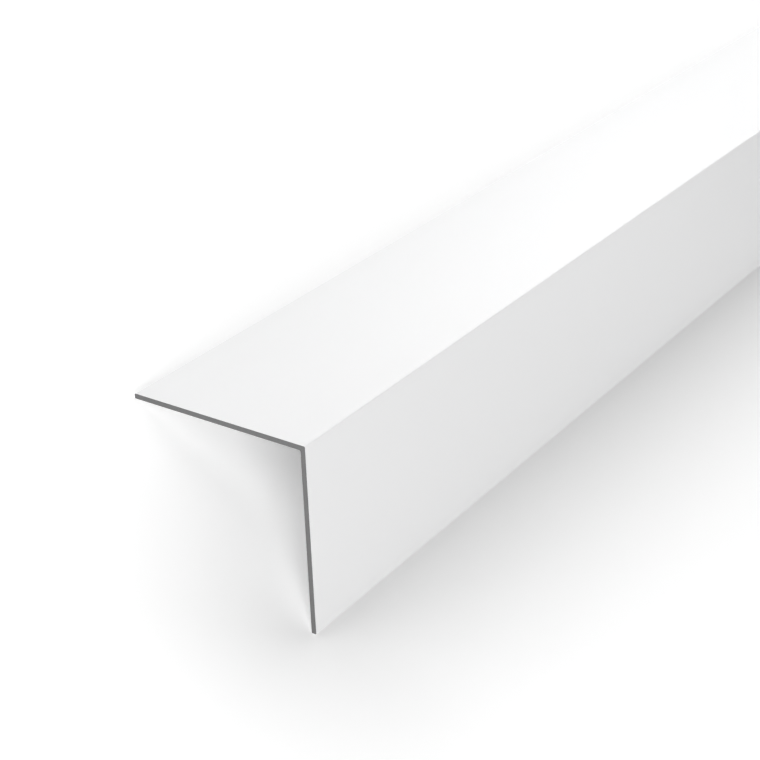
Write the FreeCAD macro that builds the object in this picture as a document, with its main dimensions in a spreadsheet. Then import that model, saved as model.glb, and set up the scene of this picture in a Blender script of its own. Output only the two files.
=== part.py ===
"""Corner guard moulding: one white rigid angle, extruded in one piece and cut to length.

The section is an equal angle. Its two legs are flat and of one wall, they meet at a crisp arris
outside and a small fillet inside, and each toe is cut square with its two edges just broken.
The inner faces of the legs are what is bonded to the two faces of a wall's outer corner.

Frame, in millimetres: Y runs along the stock and Z is up. The piece stands as it comes to rest by
itself, on its two toes with the arris uppermost, so each leg slopes down at 45 degrees. The origin
is on the floor, midway between the toes and midway along the length.
"""
import FreeCAD, Part
import os
from enum import IntEnum
from itertools import cycle

import Sketcher
from FreeCAD import Rotation, Vector

# The driving dimensions: alias, millimetres, what it measures
SIZES = (
    ("leg_width", 50, "outer width of each leg, from the sharp arris to the face of its toe"),
    ("wall", 1.3, "thickness of both legs"),
    ("stock_length", 1000, "length that the stock is cut to"),
    ("arris_radius", 0.3, "rounding along the outer corner"),
    ("root_radius", 0.4, "fillet along the inner corner"),
    ("toe_radius", 0.25, "rounding along the two edges of each toe"),
)
# Turns the section from square to the axes to arris up, with the legs sloping alike
REST_TURN_DEG = -45


class CurveEnd(IntEnum):
    """A sketch's numbers for the two ends of a curve."""

    START = 1
    STOP = 2


class SketchAxis(IntEnum):
    """A sketch's numbers for its own axes."""

    ACROSS = -1
    UP = -2


def make_sheet(doc):
    """The spreadsheet of driving dimensions, one row each: name, size, what it is."""
    sheet = doc.addObject("Spreadsheet::Sheet", "Sizes")
    for row, (alias, size, meaning) in enumerate(SIZES, start=1):
        sheet.set(f"A{row}", alias)
        sheet.set(f"B{row}", str(size))
        sheet.set(f"C{row}", meaning)
        sheet.setAlias(f"B{row}", alias)
    doc.recompute()
    return sheet


def bind(sketch, constraint, name, alias):
    """Adds a dimension to the sketch and ties it to a cell of the sheet."""
    number = sketch.addConstraint(constraint)
    sketch.renameConstraint(number, name)
    sketch.setExpression(f"Constraints.{name}", f"Sizes.{alias}")


def draw_sharp_angle(sketch, sheet):
    """Draws the angle with sharp corners: one leg over to -X, one hanging to -Z, arris at the origin.

    Returns its six sides, from the arris along the outside of the leg to -X and back round to it.
    """
    leg, wall = sheet.leg_width, sheet.wall
    corners = (
        Vector(0, 0),
        Vector(-leg, 0),
        Vector(-leg, -wall),
        Vector(-wall, -wall),
        Vector(-wall, -leg),
        Vector(0, -leg),
    )
    following = corners[1:] + corners[:1]
    sides = [sketch.addGeometry(Part.LineSegment(*ends)) for ends in zip(corners, following)]
    for side, after, direction in zip(sides, sides[1:] + sides[:1], cycle(("Horizontal", "Vertical"))):
        sketch.addConstraint(Sketcher.Constraint(direction, side))
        sketch.addConstraint(
            Sketcher.Constraint("Coincident", side, CurveEnd.STOP, after, CurveEnd.START)
        )
    return sides


def dimension_angle(sketch, sheet, sides):
    """Puts the outer faces on the sketch's axes and ties the legs' widths and walls to the sheet."""
    over_outer, over_toe, over_inner, hanging_inner, hanging_toe, hanging_outer = sides
    on_axes = ((over_outer, SketchAxis.ACROSS), (hanging_outer, SketchAxis.UP))
    for side, axis in on_axes:
        sketch.addConstraint(Sketcher.Constraint("PointOnObject", side, CurveEnd.START, axis))
    spans = (
        ("leg_over", "DistanceX", over_toe, hanging_outer, "leg_width"),
        ("leg_hanging", "DistanceY", hanging_toe, over_outer, "leg_width"),
        ("wall_over", "DistanceY", over_inner, over_outer, "wall"),
        ("wall_hanging", "DistanceX", hanging_inner, hanging_outer, "wall"),
    )
    for name, kind, low, high, alias in spans:
        ends = (low, CurveEnd.START, high, CurveEnd.START)
        bind(sketch, Sketcher.Constraint(kind, *ends, getattr(sheet, alias)), name, alias)


def round_corners(sketch, sheet, sides):
    """Rounds the corner at the start of each side with an arc tangent to both sides there."""
    roundings = ("arris", "toe", "toe", "root", "toe", "toe")
    for number, (side, rounding) in enumerate(zip(sides, roundings)):
        alias = f"{rounding}_radius"
        radius = getattr(sheet, alias)
        sketch.fillet(side, CurveEnd.START, radius)
        arc = sketch.GeometryCount - 1
        bind(sketch, Sketcher.Constraint("Radius", arc, radius), f"{rounding}_rounding_{number}", alias)


def make_corner_guard(doc, sheet):
    """The moulding: its section extruded to both sides of the middle of its length."""
    body = doc.addObject("PartDesign::Body", "corner_guard")
    body.Label = "corner_guard"
    upright_plane = next(p for p in body.Origin.OriginFeatures if p.Role == "XZ_Plane")

    section = body.newObject("Sketcher::SketchObject", "angle_section")
    section.AttachmentSupport = [(upright_plane, "")]
    section.MapMode = "FlatFace"
    sides = draw_sharp_angle(section, sheet)
    round_corners(section, sheet, sides)
    dimension_angle(section, sheet, sides)
    doc.recompute()

    extrusion = body.newObject("PartDesign::Pad", "extruded_length")
    extrusion.Profile = section
    extrusion.SideType = "Symmetric"
    extrusion.setExpression("Length", "Sizes.stock_length")
    stand_on_toes(body)
    return body, section


def stand_on_toes(body):
    """Turns the section arris up and lifts it until the inner edges of its toes touch the floor.

    The lowest line is the rounding of a toe's inner edge. Its centre lies in from the toe's face
    and from the inner face by the toe's radius, so at 45 degrees the two offsets add up.
    """
    body.Placement.Rotation = Rotation(Vector(0, 1, 0), REST_TURN_DEG)
    lift = "(Sizes.leg_width + Sizes.wall - 2 * Sizes.toe_radius) * sqrt(0.5) + Sizes.toe_radius"
    body.setExpression(".Placement.Base.z", lift)


def check(doc, body, section):
    """Stops with a message if a feature failed, the sketch is loose or the shape isn't one solid."""
    failed = [o.Label for o in doc.Objects if "Invalid" in o.State or "Error" in o.State]
    if failed:
        raise RuntimeError(f"these features failed: {failed}")
    if not section.FullyConstrained:
        raise RuntimeError("the section is not fully constrained")
    shape = body.Shape
    if shape.isNull() or not shape.isValid() or len(shape.Solids) != 1:
        raise RuntimeError(f"{body.Label} is not one valid solid")


def main():
    doc = FreeCAD.newDocument("CornerGuard")
    sheet = make_sheet(doc)
    corner_guard, section = make_corner_guard(doc, sheet)
    doc.recompute()
    check(doc, corner_guard, section)
    os.makedirs("parts", exist_ok=True)
    corner_guard.Shape.exportStep(f"parts/{corner_guard.Label}.step")


main()
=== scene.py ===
"""Looks of the corner guard moulding: white extruded plastic with grey saw-cut ends, on a white floor.

Everything is in metres in the frame of the CAD model: Y along the stock, Z up, the guard resting on
its toes with the arris uppermost. The photograph shows it turned by 45 degrees about its length, with
one leg level and the other hanging. The camera keeps the photograph's view of the guard itself, so it
is turned by the same angle. What is placed from the photograph is written in its own axes: away from
the level leg's toe, along the stock and up, counted from the near end of the arris.
"""
from math import radians, sqrt

import bmesh
import bpy
from mathutils import Matrix, Vector


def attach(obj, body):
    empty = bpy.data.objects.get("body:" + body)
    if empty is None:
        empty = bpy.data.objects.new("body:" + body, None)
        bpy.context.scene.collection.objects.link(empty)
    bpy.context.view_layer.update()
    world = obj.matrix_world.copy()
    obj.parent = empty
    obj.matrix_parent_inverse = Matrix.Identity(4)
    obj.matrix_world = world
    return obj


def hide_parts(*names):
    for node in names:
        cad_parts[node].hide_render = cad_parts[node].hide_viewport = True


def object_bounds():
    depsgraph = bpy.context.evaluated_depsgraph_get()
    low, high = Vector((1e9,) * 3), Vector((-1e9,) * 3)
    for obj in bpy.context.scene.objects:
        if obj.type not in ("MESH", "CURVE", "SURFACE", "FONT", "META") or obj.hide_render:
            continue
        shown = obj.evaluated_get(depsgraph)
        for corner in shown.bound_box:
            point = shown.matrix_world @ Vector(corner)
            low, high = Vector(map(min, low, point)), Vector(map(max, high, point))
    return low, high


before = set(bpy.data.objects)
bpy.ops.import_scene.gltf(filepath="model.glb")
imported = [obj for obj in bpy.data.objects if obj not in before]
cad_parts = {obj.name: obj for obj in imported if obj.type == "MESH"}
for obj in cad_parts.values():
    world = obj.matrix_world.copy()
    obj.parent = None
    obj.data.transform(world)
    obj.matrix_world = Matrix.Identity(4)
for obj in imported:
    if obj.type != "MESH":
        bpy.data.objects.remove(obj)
cad_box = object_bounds()

MM = 0.001


# Section of the guard

def section_reach(node):
    """Height of the sharp arris above the floor, and the outer width of a leg, read off the solid."""
    corners = [v.co for v in node.data.vertices]
    arris = max(abs(p.x) + p.z for p in corners)
    leg = max(abs(p.x) - p.z + arris for p in corners) / sqrt(2)
    return arris, leg


solid_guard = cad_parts["corner_guard"]
ARRIS_HEIGHT, LEG = section_reach(solid_guard)
NEAR_END, FAR_END = cad_box[0].y, cad_box[1].y


def place_in_leg(point):
    """How far down its leg a point lies from the sharp arris, and how deep under the outer face."""
    drop = ARRIS_HEIGHT - point.z
    return (drop + abs(point.x)) / sqrt(2), (drop - abs(point.x)) / sqrt(2)


def wall_thickness(node):
    """How deep the inner faces lie, read off the half of each leg that ends in its toe."""
    places = [place_in_leg(v.co) for v in node.data.vertices]
    return max(deep for down, deep in places if down > LEG / 2)


WALL = wall_thickness(solid_guard)


# Camera, worked out from the photograph

# Turns the photograph's axes (away from the level leg's toe, along the stock, up) into the model's
PHOTO_AXES = Matrix.Rotation(radians(-45), 3, "Y")
PHOTO_ORIGIN = Vector((0, NEAR_END, ARRIS_HEIGHT))

# Where it stands and what it aims at, in leg widths from the near end of the arris
CAMERA_PLACE = Vector((4.1705, -5.2424, 3.6918))
CAMERA_AIM = Vector((-0.0853, 0.7075, 0))
# Its turn about the line of sight, and its lens and sensor in millimetres
CAMERA_ROLL = radians(-2.166)
CAMERA_LENS = 82.23
SENSOR_WIDTH = 36
CLIP_START = 10 * MM


def from_photo(leg_widths):
    """The point of the model's frame this many leg widths along each of the photograph's axes."""
    return PHOTO_ORIGIN + PHOTO_AXES @ (leg_widths * LEG)


def add_camera():
    camera = bpy.data.objects.new("camera", bpy.data.cameras.new("camera"))
    camera.data.lens = CAMERA_LENS
    camera.data.sensor_width = SENSOR_WIDTH
    camera.data.clip_start = CLIP_START
    look = (CAMERA_AIM - CAMERA_PLACE).to_track_quat("-Z", "Y").to_matrix()
    turn = PHOTO_AXES @ look @ Matrix.Rotation(CAMERA_ROLL, 3, "Z")
    camera.matrix_world = Matrix.Translation(from_photo(CAMERA_PLACE)) @ turn.to_4x4()
    bpy.context.scene.collection.objects.link(camera)
    bpy.context.scene.camera = camera


# Nodes

# Most of a noise texture's values lie in this range
NOISE_RANGE = (0.3, 0.7)


def add_node(tree, kind, sockets, **settings):
    """Adds a node. Each input socket gets a value or a wire, and each setting is set by name."""
    node = tree.nodes.new(f"ShaderNode{kind}")
    for name, value in settings.items():
        setattr(node, name, value)
    for name, value in sockets.items():
        if isinstance(value, bpy.types.NodeSocket):
            tree.links.new(value, node.inputs[name])
        else:
            node.inputs[name].default_value = value
    return node


def new_material(name):
    material = bpy.data.materials.new(name)
    material.use_nodes = True
    return material, material.node_tree, material.node_tree.nodes["Principled BSDF"]


def grain(tree, width, length, detail):
    """Noise, mostly from 0 to 1, with grains of this width and of this length along the stock."""
    place = add_node(tree, "TexCoord", {}).outputs["Object"]
    stretch = {"Vector": place, "Scale": (1 / width, 1 / length, 1 / width)}
    drawn_out = add_node(tree, "Mapping", stretch).outputs["Vector"]
    noise = add_node(tree, "TexNoise", {"Vector": drawn_out, "Scale": 1, "Detail": detail})
    low, high = NOISE_RANGE
    usual = {"Value": noise.outputs["Fac"], "From Min": low, "From Max": high}
    return add_node(tree, "MapRange", usual, clamp=False).outputs[0]


def spread(tree, amount, low, high):
    """Turns an amount from 0 to 1 into a value from low to high."""
    return add_node(tree, "MapRange", {"Value": amount, "To Min": low, "To Max": high}).outputs[0]


def weigh(tree, first, second, first_share):
    """Adds two amounts from 0 to 1 so that the sum is from 0 to 1 and the first has this share."""
    shares = {0: spread(tree, first, 0, first_share), 1: spread(tree, second, 0, 1 - first_share)}
    return add_node(tree, "Math", shares, operation="ADD").outputs[0]


def blend_colours(tree, amount, first, second):
    mix = tree.nodes.new("ShaderNodeMix")
    mix.data_type = "RGBA"
    tree.links.new(amount, mix.inputs["Factor"])
    mix.inputs["A"].default_value = (*first, 1)
    mix.inputs["B"].default_value = (*second, 1)
    return mix.outputs["Result"]


def seen_or_mirrored(tree):
    """1 for what the camera sees, straight or in a reflection, and 0 for light that falls on things."""
    path = add_node(tree, "LightPath", {}).outputs
    seen = path["Is Camera Ray"]
    for ray in ("Is Glossy Ray", "Is Transmission Ray"):
        seen = add_node(tree, "Math", {0: seen, 1: path[ray]}, operation="MAXIMUM").outputs[0]
    return seen


# Finishes

PVC_IOR = 1.53
PLASTIC_COLOURS = (0.874, 0.876, 0.88), (0.882, 0.883, 0.886)
PLASTIC_ROUGHNESS = (0.31, 0.36)
# The unevenness of the skin, and the lines from the die: width, length and depth
CLOUD_WIDTH, CLOUD_LENGTH, CLOUD_DEPTH = 30 * MM, 180 * MM, 0.01 * MM
LINE_WIDTH, LINE_LENGTH, LINE_DEPTH = 0.7 * MM, 500 * MM, 0.0004 * MM
CLOUD_SHARE = 0.7


def white_plastic():
    """Extruded skin: satin white, with faint lines drawn along the stock by the die."""
    material, tree, shader = new_material("white_plastic")
    shader.inputs["IOR"].default_value = PVC_IOR
    clouds = grain(tree, CLOUD_WIDTH, CLOUD_LENGTH, detail=0)
    die_lines = grain(tree, LINE_WIDTH, LINE_LENGTH, detail=2)
    tone = weigh(tree, clouds, die_lines, CLOUD_SHARE)
    tree.links.new(blend_colours(tree, tone, *PLASTIC_COLOURS), shader.inputs["Base Color"])
    tree.links.new(spread(tree, tone, *PLASTIC_ROUGHNESS), shader.inputs["Roughness"])
    ripple = add_node(tree, "Bump", {"Height": clouds, "Distance": CLOUD_DEPTH}).outputs[0]
    drawn = {"Height": die_lines, "Distance": LINE_DEPTH, "Normal": ripple}
    tree.links.new(add_node(tree, "Bump", drawn).outputs[0], shader.inputs["Normal"])
    return material


CUT_COLOURS = (0.12, 0.12, 0.121), (0.155, 0.155, 0.155)
CUT_ROUGHNESS = (0.5, 0.65)
SCORE_DEPTH = 0.01 * MM
SPECKLE_SIZE = 0.5 * MM
ARC_SHARE = 0.5
# The saw's axle beside the section, and the step between its marks
SAW_CENTRE = Vector((-0.11, 0, 0.13))
SAW_PITCH = 0.4 * MM
# The rings of a wave texture of scale 1 are about this far apart
RING_SPACING = 0.31


def grey_cut():
    """Sawn ends: matt mid grey, scored by the saw blade in shallow arcs."""
    material, tree, shader = new_material("grey_cut")
    place = add_node(tree, "TexCoord", {}).outputs["Object"]
    from_saw = add_node(tree, "Mapping", {"Vector": place, "Location": -SAW_CENTRE}).outputs["Vector"]
    rings = {
        "Vector": from_saw,
        "Scale": RING_SPACING / SAW_PITCH,
        "Distortion": 1.5,
        "Detail": 2,
        "Detail Scale": 1.5,
    }
    arcs = add_node(tree, "TexWave", rings, wave_type="RINGS", rings_direction="Y").outputs["Fac"]
    speckle = grain(tree, SPECKLE_SIZE, SPECKLE_SIZE, detail=3)
    tone = weigh(tree, arcs, speckle, ARC_SHARE)
    tree.links.new(blend_colours(tree, tone, *CUT_COLOURS), shader.inputs["Base Color"])
    tree.links.new(spread(tree, tone, *CUT_ROUGHNESS), shader.inputs["Roughness"])
    scored = add_node(tree, "Bump", {"Height": tone, "Distance": SCORE_DEPTH})
    tree.links.new(scored.outputs[0], shader.inputs["Normal"])
    return material


# The guard

# Points this close are one, and faces that turn less than this are one flat face
WELD = 0.001 * MM
FLAT = radians(0.5)
RIM_BREAK = 0.08 * MM
# A face whose normal points at least this much along the stock belongs to a sawn end
CUT_FACING = 0.2
# The most weight that the modifier gives large faces over small ones
FLAT_WEIGHT = 100

# Where the skin and the two ends lie on the bake's map
SKIN_SPAN = ((0.02, 0.8), (0.02, 0.98))
END_COLUMNS = {-1: (0.84, 0.9), 1: (0.92, 0.98)}
END_ROWS = {-1: (0.02, 0.48), 1: (0.52, 0.98)}


def is_cut(face):
    return abs(face.normal.y) > CUT_FACING


def solid_skin():
    """The solid's mesh with whole flat faces, split down its middle plane, its sawn rims just broken."""
    shape = bmesh.new()
    shape.from_mesh(solid_guard.data)
    bmesh.ops.remove_doubles(shape, verts=shape.verts, dist=WELD)
    bmesh.ops.dissolve_limit(shape, angle_limit=FLAT, verts=shape.verts, edges=shape.edges)
    everything = [*shape.verts, *shape.edges, *shape.faces]
    bmesh.ops.bisect_plane(shape, geom=everything, plane_co=(0, 0, 0), plane_no=(1, 0, 0))
    rims = [e for e in shape.edges if sum(map(is_cut, e.link_faces)) == 1]
    bmesh.ops.bevel(shape, geom=rims, offset=RIM_BREAK, segments=2, profile=0.5, affect="EDGES")
    return shape


def round_section(point):
    """Distance round half the section: down the outer face, round the toe and up to the root."""
    down, deep = place_in_leg(point)
    if deep > WALL / 2 and down > WALL / 2:
        return 2 * LEG - down + deep
    return down + deep if down > LEG / 2 else down - deep


def between(span, share):
    low, high = span
    return low + (high - low) * share


def map_place(point, side, end):
    """Where a point lies on the bake's map: on the skin unrolled from the root, or on an end's leg."""
    if end:
        down, deep = place_in_leg(point)
        return between(END_COLUMNS[side], deep / WALL), between(END_ROWS[end], down / LEG)
    half_round = side * round_section(point) / (2 * LEG)
    along = (point.y - NEAR_END) / (FAR_END - NEAR_END)
    return between(SKIN_SPAN[0], (1 + half_round) / 2), between(SKIN_SPAN[1], along)


def finish_faces(shape):
    """Gives each face its finish, smooth shading and its place on the bake's map."""
    bake_map = shape.loops.layers.uv.new("OFBake")
    for face in shape.faces:
        middle = face.calc_center_median()
        side = 1 if middle.x > 0 else -1
        end = 0
        if is_cut(face):
            end = 1 if middle.y > 0 else -1
        face.material_index = abs(end)
        face.smooth = True
        for loop in face.loops:
            loop[bake_map].uv = map_place(loop.vert.co, side, end)


def make_guard():
    shape = solid_skin()
    finish_faces(shape)
    mesh = bpy.data.meshes.new("guard_stock")
    shape.to_mesh(mesh)
    shape.free()
    for finish in (white_plastic(), grey_cut()):
        mesh.materials.append(finish)
    guard = bpy.data.objects.new("guard_stock", mesh)
    bpy.context.scene.collection.objects.link(guard)
    # Keeps the flat faces flat, with all the turn of the shading in the narrow roundings
    guard.modifiers.new("flat_faces", "WEIGHTED_NORMAL").weight = FLAT_WEIGHT
    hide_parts("corner_guard")
    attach(guard, "root")


# Floor, room and lamps

FLOOR_WHITE = 0.85
FLOOR_ROUGHNESS = 0.8
FLOOR_REACH = 6
# The middle of the shadow: a line along the stock, right of the arris and short of both ends
SHADOW_SHIFT = 30 * MM
SHADOW_SHORT = 20 * MM
# How far from that line the floor is, and how strong the painted light it gives off is: a glow seen only
# by the camera and in reflections, faint by the line and full white far off, so the shadow shows beside
# the right leg and is washed out on the left, past the ends and where the lamps fall off
FLOOR_PAINTED_GLOW = ((0, 0.13), (300 * MM, 1))


def vector_math(tree, operation, *values):
    return add_node(tree, "VectorMath", dict(enumerate(values)), operation=operation).outputs


def distance_from_shadow(tree):
    """Distance on the floor from the middle line of the shadow, or past its ends from the nearer end."""
    place = add_node(tree, "TexCoord", {}).outputs["Object"]
    from_line = vector_math(tree, "SUBTRACT", place, (SHADOW_SHIFT, 0, 0))[0]
    mirrored = vector_math(tree, "ABSOLUTE", from_line)[0]
    past_end = vector_math(tree, "SUBTRACT", mirrored, (0, FAR_END - SHADOW_SHORT, 0))[0]
    outside = vector_math(tree, "MAXIMUM", past_end, (0, 0, 0))[0]
    return vector_math(tree, "LENGTH", outside)["Value"]


def white_floor():
    material, tree, shader = new_material("white_floor")
    shader.inputs["Base Color"].default_value = (FLOOR_WHITE, FLOOR_WHITE, FLOOR_WHITE, 1)
    shader.inputs["Roughness"].default_value = FLOOR_ROUGHNESS
    shader.inputs["Specular IOR Level"].default_value = 0
    shader.inputs["Emission Color"].default_value = (1, 1, 1, 1)
    # Painted light: the floor glows for the camera and in reflections, faintly along the shadow's middle
    # line and more the further off it lies
    (near, low), (far, high) = FLOOR_PAINTED_GLOW
    distance = {"Value": distance_from_shadow(tree), "From Min": near, "From Max": far}
    painted_glow = add_node(tree, "MapRange", {**distance, "To Min": low, "To Max": high}).outputs[0]
    seen = add_node(tree, "Math", {0: painted_glow, 1: seen_or_mirrored(tree)}, operation="MULTIPLY").outputs[0]
    tree.links.new(seen, shader.inputs["Emission Strength"])
    return material


def add_floor():
    shape = bmesh.new()
    bmesh.ops.create_grid(shape, x_segments=1, y_segments=1, size=FLOOR_REACH)
    mesh = bpy.data.meshes.new("floor")
    shape.to_mesh(mesh)
    shape.free()
    mesh.materials.append(white_floor())
    floor = bpy.data.objects.new("floor", mesh)
    bpy.context.scene.collection.objects.link(floor)


# Strength of the even light that the room sheds on the guard and the floor
AMBIENT = 0.05


def add_world():
    world = bpy.data.worlds.new("white_room")
    bpy.context.scene.world = world
    world.use_nodes = True
    tree = world.node_tree
    tree.nodes.clear()
    ambient = add_node(tree, "Background", {"Strength": AMBIENT})
    seen_white = add_node(tree, "Background", {"Color": (1, 1, 1, 1)})
    mix = add_node(tree, "MixShader", {"Fac": seen_or_mirrored(tree)})
    tree.links.new(ambient.outputs[0], mix.inputs[1])
    tree.links.new(seen_white.outputs[0], mix.inputs[2])
    add_node(tree, "OutputWorld", {"Surface": mix.outputs[0]})


# Softboxes: name, place in metres, point they face, width and height, watts
LAMPS = (
    ("left_strip", (-0.6, 0, 0.45), (0, 0, 0), 1.3, 0.3, 4.8),
    ("left_low_box", (-0.6, 0.3, 0.16), (0, -0.35, 0), 0.3, 0.28, 0.55),
    ("right_strip", (0.8, 0.3, 0.16), (0, 0, 0), 0.9, 0.28, 1.3),
    ("front_left_box", (-0.7, -1.2, 0.45), (0, -0.35, 0), 0.5, 0.3, 4.1),
    ("front_right_box", (0.6, -1.2, 0.45), (0, -0.35, 0), 0.7, 0.3, 8.8),
    ("back_box", (0.1, 1.4, 0.6), (0, 0.3, 0), 1.4, 0.7, 12),
)


def add_lamp(name, place, aim, width, height, watts):
    lamp = bpy.data.lights.new(name, "AREA")
    lamp.shape = "RECTANGLE"
    lamp.size, lamp.size_y = width, height
    lamp.energy = watts
    holder = bpy.data.objects.new(name, lamp)
    holder.location = place
    holder.rotation_mode = "QUATERNION"
    holder.rotation_quaternion = (Vector(aim) - Vector(place)).to_track_quat("-Z", "Y")
    holder.visible_camera = False
    bpy.context.scene.collection.objects.link(holder)


add_camera()
add_world()
add_floor()
for lamp in LAMPS:
    add_lamp(*lamp)
make_guard()
bpy.context.scene.view_settings.view_transform = "Standard"
